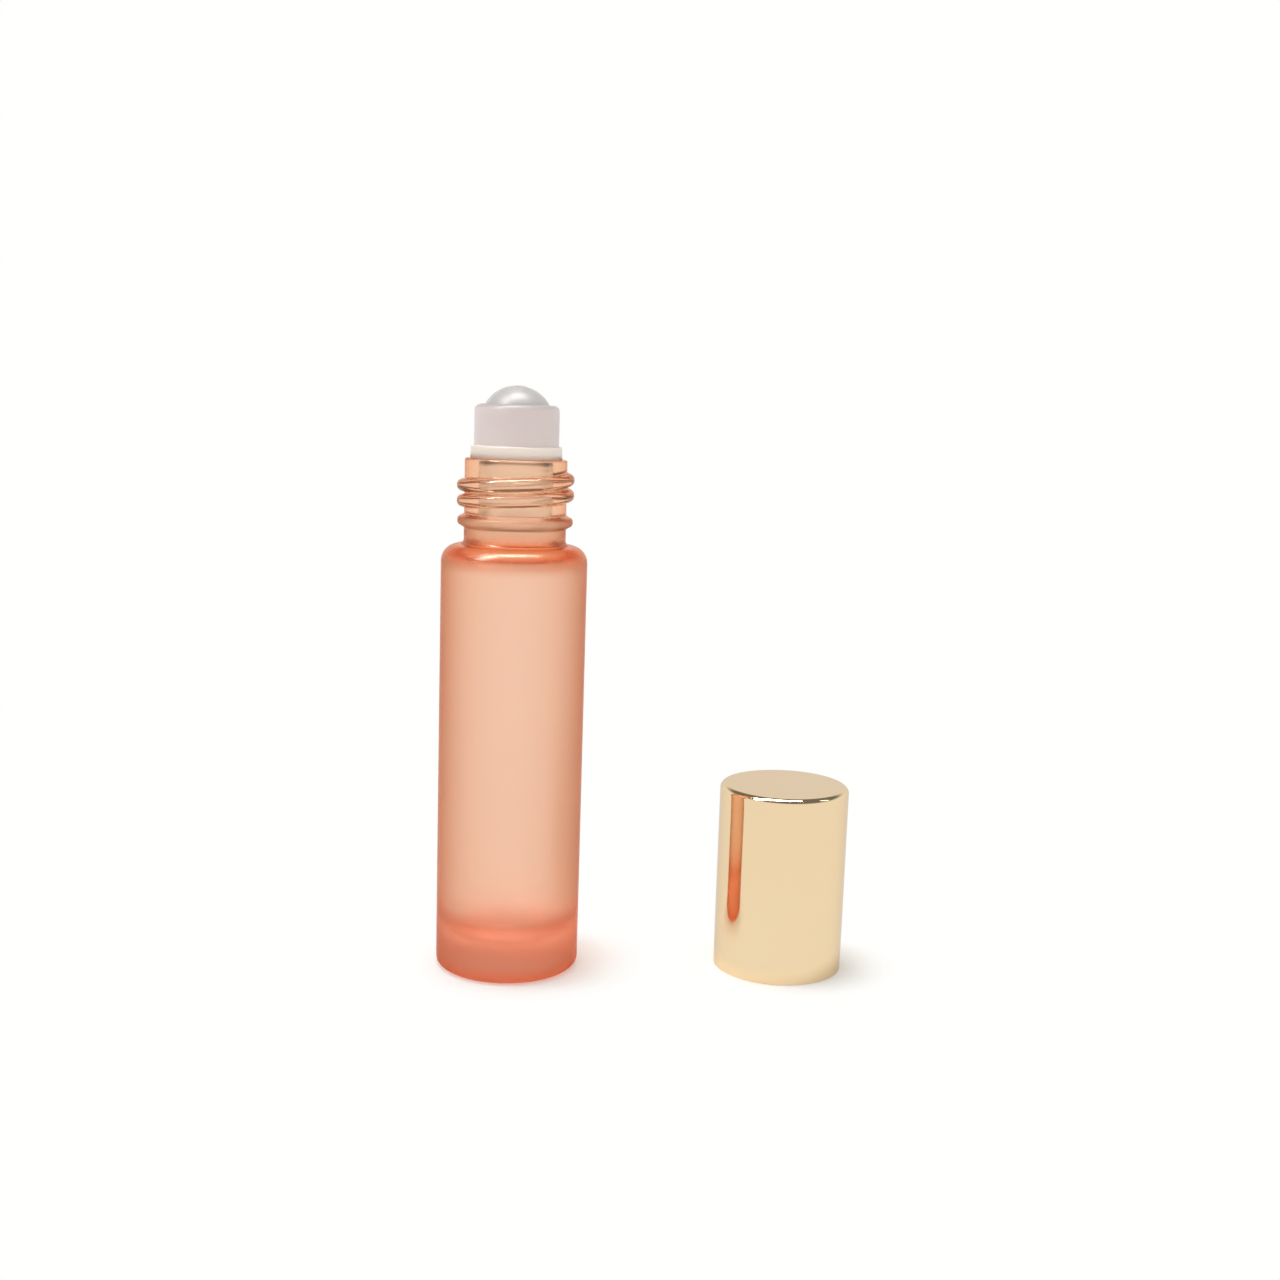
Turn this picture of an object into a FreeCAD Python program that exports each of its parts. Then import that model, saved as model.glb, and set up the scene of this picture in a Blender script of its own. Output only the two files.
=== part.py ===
"""Roll-on bottle: a glass bottle with a threaded neck, a plug-in roller fitment and a lined screw cap.

Sizes are in millimetres. The bottle stands on the XY plane with its axis on Z.
The cap is off and stands mouth down on the same plane, a little way along +X.
"""

import math
import os

import FreeCAD
import Part

PARTS_FOLDER = "parts"
FULL_TURN_DEG = 360.0
CUT_OVERRUN = 1.0

# Glass bottle: body
BODY_DIAMETER = 20.0
BODY_WALL = 2.0
BASE_THICKNESS = 4.4
HEEL_RADIUS = 1.1
FOOT_RING_WIDTH = 1.8
PUSH_UP_DEPTH = 0.5
PUSH_UP_SLOPE_WIDTH = 1.6
FLOOR_CORNER_RADIUS = 5.0
SHOULDER_HEIGHT = 59.4
SHOULDER_RADIUS = 2.3
SHOULDER_GLASS = 2.8
CAVITY_SHOULDER_RISE = 3.6
CAVITY_SHOULDER_RADIUS = 2.5

# Glass bottle: neck finish
NECK_DIAMETER = 13.9
NECK_LENGTH = 11.7
NECK_BORE_DIAMETER = 10.2
NECK_ROOT_RADIUS = 0.75
RIM_RADIUS = 0.3
BEAD_RISE = 3.25
BEAD_HEIGHT = 0.9
BEAD_CREST_WIDTH = 0.8
BEAD_BASE_WIDTH = 1.9
BEAD_CREST_RADIUS = 0.45
BEAD_ROOT_RADIUS = 0.2

# Screw thread on the neck, right-handed, single start
THREAD_PITCH = 2.1
THREAD_RISE = 5.85
THREAD_RIM_DROP = 2.7
THREAD_HEIGHT = 1.03
THREAD_RIDGE_RADIUS = 0.86
THREAD_SINK_DEPTH = 0.3
THREAD_RUNOUT_TURNS = 0.2
THREAD_START_DEG = 180.0
THREAD_POINTS_PER_TURN = 20

# Roller ball
BALL_DIAMETER = 10.0
BALL_SINK = 0.2
BALL_EXPOSURE = 2.55
BALL_CLEARANCE = 0.08

# Roller housing, a plug that snaps over the ball and presses into the neck
HOUSING_WALL = 0.67
HOUSING_TOP_RADIUS = 0.9
FLANGE_STEP = 0.42
FLANGE_DRAFT = 0.08
FLANGE_HEIGHT = 1.7
FLANGE_EDGE_RADIUS = 0.15
CUP_FLOOR = 0.8
SKIRT_LENGTH = 8.5
SKIRT_WALL = 0.9
SKIRT_CLEARANCE = 0.1
SKIRT_CHAMFER = 0.4
SEAL_RING_COUNT = 2
SEAL_RING_FIRST_DROP = 2.2
SEAL_RING_SPACING = 2.6
SEAL_RING_LAND = 0.5
SEAL_RING_BASE = 0.9
FEED_HOLE_DIAMETER = 6.0

# Cap: thin metal shell over a threaded plastic liner
SHELL_WALL = 0.35
CAP_EDGE_RADIUS = 0.8
CAP_SHOULDER_GAP = 0.25
CAP_HEADROOM = 2.8
GLUE_GAP = 0.025
LINER_WALL = 0.55
LINER_THREAD_CLEARANCE = 0.2
LINER_RECESS = 0.3
LINER_ROOF = 1.0
LINER_ROOF_GAP = 1.0
LINER_SKIRT_RELIEF = 0.25
LINER_SKIRT_DEPTH = 3.5
LINER_LEAD_IN = 0.15
LINER_RIDGE_RADIUS = 0.45
LINER_RIDGE_HEIGHT = 0.6
LINER_THREAD_TURNS = 1.25
BALL_STOP_RADIUS = 2.5
BALL_STOP_WALL = 0.7
BALL_STOP_GAP = 0.05
LIP_SEAL_WALL = 0.35
LIP_SEAL_GAP = 0.05

# Where the cap stands beside the bottle
CAP_STAND_GAP = 19.7
CAP_STAND_DEG = 6.2

# Heights and radii that follow from the sizes above
BODY_R = BODY_DIAMETER / 2
CAVITY_R = BODY_R - BODY_WALL
NECK_R = NECK_DIAMETER / 2
NECK_BORE_R = NECK_BORE_DIAMETER / 2
RIM_Z = SHOULDER_HEIGHT + NECK_LENGTH
THREAD_CREST_R = NECK_R + THREAD_HEIGHT
THREAD_TURNS = (NECK_LENGTH - THREAD_RISE - THREAD_RIM_DROP) / THREAD_PITCH
BALL_R = BALL_DIAMETER / 2
SOCKET_R = BALL_R + BALL_CLEARANCE
BALL_Z = RIM_Z - BALL_SINK + BALL_R
BALL_TOP_Z = BALL_Z + BALL_R
HOUSING_TOP_Z = BALL_TOP_Z - BALL_EXPOSURE
BARREL_R = SOCKET_R + HOUSING_WALL
SKIRT_R = NECK_BORE_R - SKIRT_CLEARANCE
LINER_BORE_R = THREAD_CREST_R + LINER_THREAD_CLEARANCE
LINER_R = LINER_BORE_R + LINER_WALL
SHELL_BORE_R = LINER_R + GLUE_GAP
CAP_R = SHELL_BORE_R + SHELL_WALL
CAP_CLOSED_Z = SHOULDER_HEIGHT + CAP_SHOULDER_GAP
LINER_ROOF_Z = BALL_TOP_Z - CAP_CLOSED_Z + LINER_ROOF_GAP
LINER_TOP_Z = LINER_ROOF_Z + LINER_ROOF + CAP_HEADROOM
CAP_HEIGHT = LINER_TOP_Z + SHELL_WALL
CAP_DISTANCE = BODY_R + CAP_STAND_GAP + CAP_R


def rounded_outline(corners):
    """Closed face in the XZ half plane through (radius, height, rounding) corners.

    Each corner is rounded by a tangent arc, which is made smaller where its two sides are too short for it.
    """
    points = [FreeCAD.Vector(radius, 0, height) for radius, height, _ in corners]
    count = len(points)
    to_previous = [(points[i - 1] - points[i]) for i in range(count)]
    to_next = [(points[(i + 1) % count] - points[i]) for i in range(count)]
    half_angles = [a.getAngle(b) / 2 for a, b in zip(to_previous, to_next)]
    setbacks = [corner[2] / math.tan(half) for corner, half in zip(corners, half_angles)]
    for i in range(count):
        following = (i + 1) % count
        wanted = setbacks[i] + setbacks[following]
        if wanted > to_next[i].Length:
            fit = to_next[i].Length / wanted
            setbacks[i] *= fit
            setbacks[following] *= fit

    edges = []
    arcs = []
    for point, back, ahead, half, setback in zip(points, to_previous, to_next, half_angles, setbacks):
        back_way = FreeCAD.Vector(back).normalize()
        ahead_way = FreeCAD.Vector(ahead).normalize()
        start = point + back_way * setback
        end = point + ahead_way * setback
        middle = point
        if setback > Part.Precision.confusion():
            radius = setback * math.tan(half)
            inward = (back_way + ahead_way).normalize()
            middle = point + inward * (radius / math.sin(half) - radius)
        arcs.append((start, middle, end, setback))
    for i, (start, middle, end, setback) in enumerate(arcs):
        if setback > Part.Precision.confusion():
            edges.append(Part.Arc(start, middle, end).toShape())
        next_start = arcs[(i + 1) % count][0]
        if end.distanceToPoint(next_start) > Part.Precision.confusion():
            edges.append(Part.LineSegment(end, next_start).toShape())
    return Part.Face(Part.Wire(edges))


def turned(corners):
    """Solid of revolution about Z of a rounded outline."""
    face = rounded_outline(corners)
    return face.revolve(FreeCAD.Vector(0, 0, 0), FreeCAD.Vector(0, 0, 1), FULL_TURN_DEG)


def helical_ridge(crest_path_r, sunk_path_r, ridge_r, start_z, turns):
    """Round ridge along a right-handed helix that runs out at both ends by sinking into the wall."""
    runout = THREAD_RUNOUT_TURNS
    steps = math.ceil((turns + 2 * runout) * THREAD_POINTS_PER_TURN)
    points = []
    for step in range(steps + 1):
        turn = -runout + (turns + 2 * runout) * step / steps
        past_end = max(-turn, turn - turns, 0) / runout
        ease = past_end * past_end * (3 - 2 * past_end)
        radius = crest_path_r + (sunk_path_r - crest_path_r) * ease
        angle = math.radians(THREAD_START_DEG) + 2 * math.pi * turn
        points.append(
            FreeCAD.Vector(radius * math.cos(angle), radius * math.sin(angle), start_z + THREAD_PITCH * turn)
        )
    path = Part.BSplineCurve()
    path.interpolate(points)
    start_way = path.tangent(path.FirstParameter)[0]
    section = Part.Wire(Part.Circle(points[0], start_way, ridge_r).toShape())
    return Part.Wire(path.toShape()).makePipeShell([section], True, False)


def ring(inner_r, outer_r, bottom_z, top_z):
    """Plain tube on the Z axis."""
    return turned([(inner_r, bottom_z, 0), (outer_r, bottom_z, 0), (outer_r, top_z, 0), (inner_r, top_z, 0)])


def glass_bottle():
    """Thick-walled bottle with a heavy base, a bead and a screw thread on the neck."""
    foot_inner_r = BODY_R - HEEL_RADIUS - FOOT_RING_WIDTH
    push_up_r = foot_inner_r - PUSH_UP_SLOPE_WIDTH
    bead_z = SHOULDER_HEIGHT + BEAD_RISE
    bead_r = NECK_R + BEAD_HEIGHT
    cavity_top_z = SHOULDER_HEIGHT - SHOULDER_GLASS
    body = turned(
        [
            (0, PUSH_UP_DEPTH, 0),
            (push_up_r, PUSH_UP_DEPTH, PUSH_UP_SLOPE_WIDTH),
            (foot_inner_r, 0, PUSH_UP_DEPTH),
            (BODY_R, 0, HEEL_RADIUS),
            (BODY_R, SHOULDER_HEIGHT, SHOULDER_RADIUS),
            (NECK_R, SHOULDER_HEIGHT, NECK_ROOT_RADIUS),
            (NECK_R, bead_z - BEAD_BASE_WIDTH / 2, BEAD_ROOT_RADIUS),
            (bead_r, bead_z - BEAD_CREST_WIDTH / 2, BEAD_CREST_RADIUS),
            (bead_r, bead_z + BEAD_CREST_WIDTH / 2, BEAD_CREST_RADIUS),
            (NECK_R, bead_z + BEAD_BASE_WIDTH / 2, BEAD_ROOT_RADIUS),
            (NECK_R, RIM_Z, RIM_RADIUS),
            (NECK_BORE_R, RIM_Z, RIM_RADIUS),
            (NECK_BORE_R, cavity_top_z + CAVITY_SHOULDER_RISE, CAVITY_SHOULDER_RADIUS),
            (CAVITY_R, cavity_top_z, CAVITY_SHOULDER_RADIUS),
            (CAVITY_R, BASE_THICKNESS, FLOOR_CORNER_RADIUS),
            (0, BASE_THICKNESS, 0),
        ]
    )
    ridge = helical_ridge(
        crest_path_r=THREAD_CREST_R - THREAD_RIDGE_RADIUS,
        sunk_path_r=NECK_R - THREAD_SINK_DEPTH - THREAD_RIDGE_RADIUS,
        ridge_r=THREAD_RIDGE_RADIUS,
        start_z=SHOULDER_HEIGHT + THREAD_RISE,
        turns=THREAD_TURNS,
    )
    middle_of_wall_r = (NECK_R + NECK_BORE_R) / 2
    ridge = ridge.cut(Part.makeCylinder(middle_of_wall_r, RIM_Z))
    return body.fuse(ridge)


def roller_ball():
    """Solid ball, held in the housing just past its equator."""
    return Part.makeSphere(BALL_R, FreeCAD.Vector(0, 0, BALL_Z))


def roller_housing():
    """One-piece moulding: ball cup with a feed hole, flange on the rim, sealing skirt in the neck bore."""
    flange_top_r = BARREL_R + FLANGE_STEP
    flange_r = flange_top_r + FLANGE_DRAFT
    flange_top_z = RIM_Z + FLANGE_HEIGHT
    skirt_z = RIM_Z - SKIRT_LENGTH
    skirt_corners = []
    for index in range(SEAL_RING_COUNT):
        ring_z = RIM_Z - SEAL_RING_FIRST_DROP - SEAL_RING_SPACING * index
        skirt_corners = [
            (SKIRT_R, ring_z - SEAL_RING_BASE / 2, 0),
            (NECK_BORE_R, ring_z - SEAL_RING_LAND / 2, 0),
            (NECK_BORE_R, ring_z + SEAL_RING_LAND / 2, 0),
            (SKIRT_R, ring_z + SEAL_RING_BASE / 2, 0),
        ] + skirt_corners
    blank = turned(
        [
            (0, skirt_z, 0),
            (SKIRT_R - SKIRT_CHAMFER, skirt_z, 0),
            (SKIRT_R, skirt_z + SKIRT_CHAMFER, 0),
            *skirt_corners,
            (SKIRT_R, RIM_Z, 0),
            (flange_r, RIM_Z, 0),
            (flange_top_r, flange_top_z, FLANGE_EDGE_RADIUS),
            (BARREL_R, flange_top_z, 0),
            (BARREL_R, HOUSING_TOP_Z, HOUSING_TOP_RADIUS),
            (0, HOUSING_TOP_Z, 0),
        ]
    )
    centre = FreeCAD.Vector(0, 0, BALL_Z)
    socket = Part.makeSphere(SOCKET_R, centre)
    bore_base = FreeCAD.Vector(0, 0, skirt_z - CUT_OVERRUN)
    bore = Part.makeCylinder(SKIRT_R - SKIRT_WALL, BALL_Z - bore_base.z, bore_base)
    bore = bore.cut(Part.makeSphere(SOCKET_R + CUP_FLOOR, centre))
    feed_hole = Part.makeCylinder(FEED_HOLE_DIAMETER / 2, BALL_Z - bore_base.z, bore_base)
    return blank.cut([socket, bore, feed_hole])


def cap_shell():
    """Drawn metal shell, open at the bottom, with a rounded top edge."""
    inner_edge_r = max(CAP_EDGE_RADIUS - SHELL_WALL, 0)
    return turned(
        [
            (SHELL_BORE_R, 0, 0),
            (CAP_R, 0, 0),
            (CAP_R, CAP_HEIGHT, CAP_EDGE_RADIUS),
            (0, CAP_HEIGHT, 0),
            (0, LINER_TOP_Z, 0),
            (SHELL_BORE_R, LINER_TOP_Z, inner_edge_r),
        ]
    )


def cap_liner():
    """Threaded liner with a roof, a ring that holds the ball down and a lip that seals on the housing."""
    skirt_bore_r = LINER_BORE_R + LINER_SKIRT_RELIEF
    wall_inner_r = LINER_BORE_R
    top_edge_r = max(CAP_EDGE_RADIUS - SHELL_WALL, 0) + GLUE_GAP
    body = turned(
        [
            (skirt_bore_r + LINER_LEAD_IN, LINER_RECESS, 0),
            (LINER_R, LINER_RECESS, 0),
            (LINER_R, LINER_TOP_Z, top_edge_r),
            (wall_inner_r, LINER_TOP_Z, 0),
            (wall_inner_r, LINER_ROOF_Z + LINER_ROOF, 0),
            (0, LINER_ROOF_Z + LINER_ROOF, 0),
            (0, LINER_ROOF_Z, 0),
            (wall_inner_r, LINER_ROOF_Z, 0),
            (wall_inner_r, LINER_SKIRT_DEPTH, 0),
            (skirt_bore_r, LINER_SKIRT_DEPTH, 0),
            (skirt_bore_r, LINER_RECESS + LINER_LEAD_IN, 0),
        ]
    )
    ball_touch_z = BALL_Z + math.sqrt(BALL_R**2 - BALL_STOP_RADIUS**2) - CAP_CLOSED_Z
    ball_stop = ring(
        BALL_STOP_RADIUS, BALL_STOP_RADIUS + BALL_STOP_WALL, ball_touch_z + BALL_STOP_GAP, LINER_ROOF_Z
    )
    lip_outer_r = BARREL_R - HOUSING_TOP_RADIUS
    lip_seal = ring(
        lip_outer_r - LIP_SEAL_WALL, lip_outer_r, HOUSING_TOP_Z - CAP_CLOSED_Z + LIP_SEAL_GAP, LINER_ROOF_Z
    )
    ridge_path_r = LINER_BORE_R - LINER_RIDGE_HEIGHT + LINER_RIDGE_RADIUS
    ridge = helical_ridge(
        crest_path_r=ridge_path_r,
        sunk_path_r=ridge_path_r + LINER_RIDGE_HEIGHT,
        ridge_r=LINER_RIDGE_RADIUS,
        start_z=SHOULDER_HEIGHT + THREAD_RISE - CAP_CLOSED_Z - THREAD_PITCH / 2,
        turns=LINER_THREAD_TURNS,
    )
    middle_of_wall_r = (LINER_R + LINER_BORE_R) / 2
    ridge = ridge.common(Part.makeCylinder(middle_of_wall_r, LINER_TOP_Z))
    return body.fuse([ball_stop, lip_seal, ridge])


def stand_beside(shape):
    """Moves a cap piece from the Z axis to where the cap stands beside the bottle."""
    angle = math.radians(CAP_STAND_DEG)
    shape.translate(FreeCAD.Vector(CAP_DISTANCE * math.cos(angle), CAP_DISTANCE * math.sin(angle), 0))
    return shape


def main():
    pieces = {
        "glass_bottle": glass_bottle(),
        "roller_housing": roller_housing(),
        "roller_ball": roller_ball(),
        "cap_shell": stand_beside(cap_shell()),
        "cap_liner": stand_beside(cap_liner()),
    }
    os.makedirs(PARTS_FOLDER, exist_ok=True)
    for name, shape in pieces.items():
        shape.exportStep(os.path.join(PARTS_FOLDER, name + ".step"))
        box = shape.optimalBoundingBox()
        print(
            f"{name}: {len(shape.Solids)} solid, valid {shape.isValid()}, volume {shape.Volume:.1f} mm3, "
            f"x {box.XMin:.2f}..{box.XMax:.2f}, y {box.YMin:.2f}..{box.YMax:.2f}, z {box.ZMin:.2f}..{box.ZMax:.2f}"
        )


main()
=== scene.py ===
"""Looks of the roll-on bottle: frosted coral glass, a milky roller fitment and a champagne gold cap.

Every piece but the ball is turned about an upright axis from an outline. All lengths are in metres, in the
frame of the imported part.
"""

import math

import bmesh
import bpy
from mathutils import Matrix, Vector


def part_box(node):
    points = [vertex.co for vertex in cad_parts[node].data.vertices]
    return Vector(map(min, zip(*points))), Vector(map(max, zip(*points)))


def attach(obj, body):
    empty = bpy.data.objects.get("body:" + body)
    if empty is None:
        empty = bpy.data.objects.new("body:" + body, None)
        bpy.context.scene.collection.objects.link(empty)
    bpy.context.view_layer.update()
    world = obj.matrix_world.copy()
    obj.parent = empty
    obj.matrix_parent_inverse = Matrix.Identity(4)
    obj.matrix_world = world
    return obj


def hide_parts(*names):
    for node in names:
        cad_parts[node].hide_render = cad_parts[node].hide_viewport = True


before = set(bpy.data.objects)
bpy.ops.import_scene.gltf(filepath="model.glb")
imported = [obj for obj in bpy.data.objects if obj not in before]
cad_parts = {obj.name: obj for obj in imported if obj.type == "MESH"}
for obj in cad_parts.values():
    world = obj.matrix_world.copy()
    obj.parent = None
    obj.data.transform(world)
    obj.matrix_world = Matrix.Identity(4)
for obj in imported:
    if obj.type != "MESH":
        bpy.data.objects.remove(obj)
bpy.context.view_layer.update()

MM = 0.001
FULL_TURN = 2 * math.pi

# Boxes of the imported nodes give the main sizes
bottle_low, bottle_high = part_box("glass_bottle")
housing_low, housing_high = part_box("roller_housing")
ball_low, ball_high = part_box("roller_ball")
shell_low, shell_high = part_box("cap_shell")
liner_low, liner_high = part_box("cap_liner")

# Glass bottle
BODY_R = bottle_high.x
RIM_Z = bottle_high.z
BODY_WALL = 2.0 * MM
BASE_THICKNESS = 4.4 * MM
HEEL_ROUNDING = 1.1 * MM
FOOT_RING_WIDTH = 1.8 * MM
PUSH_UP_DEPTH = 0.5 * MM
PUSH_UP_SLOPE = 1.6 * MM
FLOOR_ROUNDING = 5.0 * MM
NECK_LENGTH = 11.7 * MM
SHOULDER_Z = RIM_Z - NECK_LENGTH
SHOULDER_ROUNDING = 2.3 * MM
SHOULDER_GLASS = 2.8 * MM
CAVITY_SHOULDER_RISE = 3.6 * MM
CAVITY_SHOULDER_ROUNDING = 2.5 * MM
NECK_R = 6.95 * MM
NECK_BORE_R = 5.1 * MM
NECK_ROOT_ROUNDING = 0.75 * MM
RIM_ROUNDING = 0.3 * MM
BEAD_RISE = 3.25 * MM
BEAD_HEIGHT = 0.9 * MM
BEAD_Z = SHOULDER_Z + BEAD_RISE
BEAD_R = NECK_R + BEAD_HEIGHT
BEAD_CREST = 0.8 * MM
BEAD_BASE = 1.9 * MM
BEAD_CREST_ROUNDING = 0.45 * MM
BEAD_ROOT_ROUNDING = 0.2 * MM

# Screw threads
THREAD_PITCH = 2.1 * MM
THREAD_RISE = 5.85 * MM
THREAD_START_Z = SHOULDER_Z + THREAD_RISE
THREAD_START_ANGLE = math.pi
THREAD_HEIGHT = 1.02 * MM
THREAD_HALF_WIDTH = 0.9 * MM
THREAD_TURNS = 1.5
THREAD_RUNOUT = 0.2
THREAD_ROW = 0.08 * MM
RIDGE_FULLNESS = 2.4
SPARE_LAPS = 3

# Roller fitment
BALL_R = ball_high.x
BALL_Z = (ball_low.z + ball_high.z) / 2
BALL_CLEARANCE = 0.08 * MM
SOCKET_R = BALL_R + BALL_CLEARANCE
HOUSING_TOP_Z = housing_high.z
HOUSING_TOP_ROUNDING = 0.9 * MM
HOUSING_WALL = 0.67 * MM
BARREL_R = SOCKET_R + HOUSING_WALL
FLANGE_DRAFT = 0.08 * MM
FLANGE_HEIGHT = 1.7 * MM
FLANGE_R = housing_high.x
FLANGE_TOP_R = FLANGE_R - FLANGE_DRAFT
FLANGE_TOP_Z = RIM_Z + FLANGE_HEIGHT
FLANGE_ROUNDING = 0.15 * MM
CUP_FLOOR = 0.8 * MM
SKIRT_Z = housing_low.z
SKIRT_CLEARANCE = 0.1 * MM
SKIRT_R = NECK_BORE_R - SKIRT_CLEARANCE
SKIRT_WALL = 0.9 * MM
SKIRT_CHAMFER = 0.4 * MM
SEAL_RING_DROPS = (2.2 * MM, 4.8 * MM)
SEAL_RING_LAND = 0.5 * MM
SEAL_RING_BASE = 0.9 * MM
FEED_HOLE_R = 3.0 * MM
SOCKET_ARC_ROWS = 24
FIT_GAP = 0.004 * MM
FLANGE_INDEX = 1
SKIRT_INDEX = 2

# Cap
CAP_X = (shell_low.x + shell_high.x) / 2
CAP_Y = (shell_low.y + shell_high.y) / 2
CAP_R = (shell_high.x - shell_low.x) / 2
CAP_TOP_Z = shell_high.z
SHELL_WALL = 0.35 * MM
CAP_EDGE_ROUNDING = 0.8 * MM
SHELL_RIM_ROUNDING = 0.12 * MM
LINER_R = (liner_high.x - liner_low.x) / 2
LINER_RIM_Z = liner_low.z
LINER_TOP_Z = liner_high.z
LINER_WALL = 0.55 * MM
LINER_RELIEF = 0.25 * MM
LINER_BORE_R = LINER_R - LINER_WALL
LINER_SKIRT_R = LINER_BORE_R + LINER_RELIEF
LINER_SKIRT_Z = 3.5 * MM
LINER_LEAD_IN = 0.15 * MM
LINER_ROOF_Z = 22.25 * MM
LINER_ROOF = 1.0 * MM
LINER_RIDGE_HEIGHT = 0.6 * MM
LINER_RIDGE_HALF_WIDTH = 0.47 * MM
LINER_THREAD_TURNS = 1.25
LINER_THREAD_Z = 4.55 * MM
BALL_STOP_R = 2.5 * MM
BALL_STOP_WALL = 0.7 * MM
BALL_STOP_Z = 20.63 * MM
LIP_SEAL_R = 4.85 * MM
LIP_SEAL_WALL = 0.35 * MM
LIP_SEAL_Z = 18.75 * MM

# Mesh fineness
TURN_STEPS = 240
ROUNDING_STEPS = 8
LONGEST_ROW = 2.0 * MM
SAME_PLACE = 0.0005 * MM
COUNT_SLACK = 5e-7
BALL_SUBDIVISIONS = 6
FLOOR_STEPS = 96

# Shared surface effects
GRAIN_DETAIL = 3.0
GRAIN_BREAKUP = 0.6
SMUDGE_DETAIL = 2.0
SMUDGE_SPAN = (0.45, 0.7)
STREAK_FINENESS = 9
STREAK_DETAIL = 4.0
STREAK_SPAN = (0.3, 0.7)
STREAK_LOW = 0.3

# Glass; a span goes from the height or radius where an effect begins to the one where it is full
CLEAR = (1, 1, 1, 1)
WALL_STAIN = (1, 0.95, 0.92, 1)
# Painted shade: grey that darkens the thick base
BASE_PAINTED_SHADE = (0.86, 0.84, 0.83, 1)
# Painted shade: deeper, darker coral at the heel
HEEL_PAINTED_SHADE = (0.98, 0.45, 0.29, 1)
# Painted shade: deeper, darker coral round the shoulder
SHOULDER_PAINTED_SHADE = (0.87, 0.25, 0.105, 1)
NECK_STAIN = (1, 0.99, 0.9, 1)
# Painted shade: darker coral on the floor of the cavity
CAVITY_FLOOR_PAINTED_SHADE = (0.74, 0.52, 0.44, 1)
FOOT_SHARE = 0.5
FOOT_RADIUS_SPAN = (BODY_R - 3.0 * MM, BODY_R - 1.0 * MM)
FOOT_HEIGHT_SPAN = (1.0 * MM, 2.0 * MM)
HEEL_SPAN = (3.0 * MM, 0.5 * MM)
BASE_SPAN = (7.0 * MM, 4.5 * MM)
CAVITY_FLOOR_SPAN = (BASE_THICKNESS + 1.4 * MM, BASE_THICKNESS + 0.2 * MM)
SHOULDER_SPAN = (SHOULDER_Z - 2.6 * MM, SHOULDER_Z - 1.0 * MM)
NECK_ROOT_SPAN = (SHOULDER_Z + 2.0 * MM, SHOULDER_Z + 0.5 * MM)
FROST_SPAN = (BEAD_Z + 0.9 * MM, BEAD_Z + 0.4 * MM)
FROST_SCALE = 5000.0
FROST_DEPTH = 0.003 * MM
FROST_ROUGHNESS = 0.45
FROST_UNEVENNESS = 0.1
SHOULDER_ROUGHNESS = 0.2
SMUDGE_POLISH = -0.04
BORE_ROUGHNESS = 0.04
NECK_ROUGHNESS = 0.11
GLASS_MARKS_SCALE = 90.0
GLASS_IOR = 1.5
COAT_TINT = (0.98, 0.83, 0.725, 1)
COAT_IOR = 1.04
COAT_ROUGHNESS = 0.2
GLASS_TINT = (0.92, 0.5, 0.4, 1)
GLASS_TINT_DENSITY = 50.0

# Plastic of the roller housing
HOUSING_GRAIN_SCALE = 2500.0
HOUSING_GRAIN_DEPTH = 0.004 * MM
HOUSING_ROUGHNESS = 0.3
HOUSING_UNEVENNESS = 0.12
HOUSING_IOR = 1.45
BARREL_COLOURS = ((0.79, 0.695, 0.675, 1), (0.82, 0.725, 0.705, 1))
BARREL_MOTTLE_SCALE = 260.0
BARREL_MOTTLE_DETAIL = 2.0
BARREL_DEPTH_COLOUR = (1.0, 0.92, 0.86)
BARREL_DEPTH = 0.4 * MM
BARREL_SPECULAR = 0.3
# Painted shade: darker grey on the up-facing lip round the ball
LIP_PAINTED_SHADE = (0.5, 0.445, 0.43, 1)
LIP_SHADE_SPAN = (HOUSING_TOP_Z - HOUSING_TOP_ROUNDING, HOUSING_TOP_Z - 0.1 * MM)
# The flange's cream, painted lighter and warmer for the glow of the coral glass below
FLANGE_COLOURS_AND_GLOW = ((0.99, 0.87, 0.76, 1), (0.99, 0.9, 0.81, 1))
SKIRT_COLOUR = (1, 0.99, 0.98, 1)
SKIRT_ROUGHNESS = 0.25
SKIRT_UNEVENNESS = 0.1
SKIRT_TRANSMISSION = 0.97
SKIRT_IOR = 1.12

# Plastic of the ball
BALL_COLOURS = ((0.52, 0.495, 0.485, 1), (0.56, 0.535, 0.53, 1))
BALL_SWIRL_SCALE = 180.0
BALL_SWIRL_DETAIL = 2.0
BALL_SWIRL_TWIST = 1.5
BALL_MARKS_SCALE = 300.0
BALL_ROUGHNESS = 0.34
BALL_UNEVENNESS = 0.08
BALL_MILKINESS = 0.5
BALL_DEPTH_COLOUR = (1.0, 0.95, 0.92)
BALL_DEPTH = 1.0 * MM
BALL_IOR = 1.5
BALL_SPECULAR = 0.25

# Metal and plastic of the cap
GOLD_COLOURS = ((0.83, 0.645, 0.405, 1), (0.86, 0.675, 0.43, 1))
GOLD_TONE_SCALE = 45.0
GOLD_TONE_DETAIL = 1.0
# Grey edge tint of the gold, partly painted shade that dims grazing reflections as a dimmer room would
GOLD_EDGE_TINT_AND_SHADE = (0.80, 0.76, 0.74, 1)
GOLD_ROUGHNESS = 0.045
GOLD_MARKS_SCALE = 110.0
GOLD_MARKS_ROUGHNESS = 0.035
RING_STRETCH = (0.02, 0.02, 1)
RING_SCALE = 4000.0
RING_DEPTH = 0.0002 * MM
RING_ROUGHNESS = 0.03
LINER_COLOURS = ((0.86, 0.86, 0.84, 1), (0.8, 0.8, 0.77, 1))
LINER_GRAIN_SCALE = 1800.0
LINER_GRAIN_DEPTH = 0.006 * MM
LINER_MARKS_SCALE = 140.0
LINER_ROUGHNESS = 0.38
LINER_UNEVENNESS = 0.15

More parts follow.
